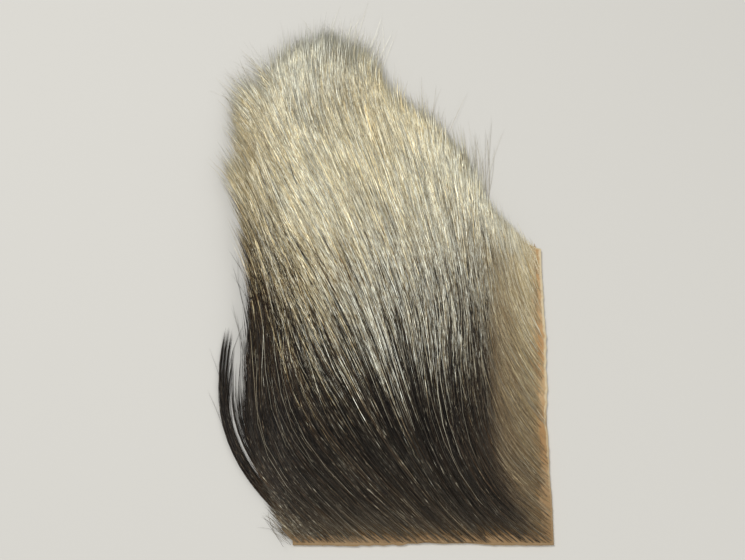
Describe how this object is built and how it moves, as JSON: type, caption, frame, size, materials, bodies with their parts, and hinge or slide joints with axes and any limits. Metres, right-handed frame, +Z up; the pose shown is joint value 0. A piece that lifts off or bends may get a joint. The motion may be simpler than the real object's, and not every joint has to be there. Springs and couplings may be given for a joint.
{
  "type": "kid goat skin",
  "caption": "Cut piece of tanned kid goat hide with long hair on, dark at the root end and cream at the tips, lying flat; used as craft fur or a small pelt.",
  "frame": {"origin": "on the surface that the skin lies on, under the middle of the whole piece, hair tips included", "axes": "+X to the right along the hide's straight near edge, +Y away from that edge along the hair, +Z up"},
  "size_m": [0.0934, 0.1532, 0.0111],
  "materials": {
    "tanned_skin": "matt orange-tan grain side with a paler cut rim",
    "kid_hair": "straight silky hair, near black at the root end, grizzled in the middle and cream at the far end"
  },
  "bodies": {
    "root": {"hide": "tanned_skin", "coat": "kid_hair"}
  },
  "joints": []
}
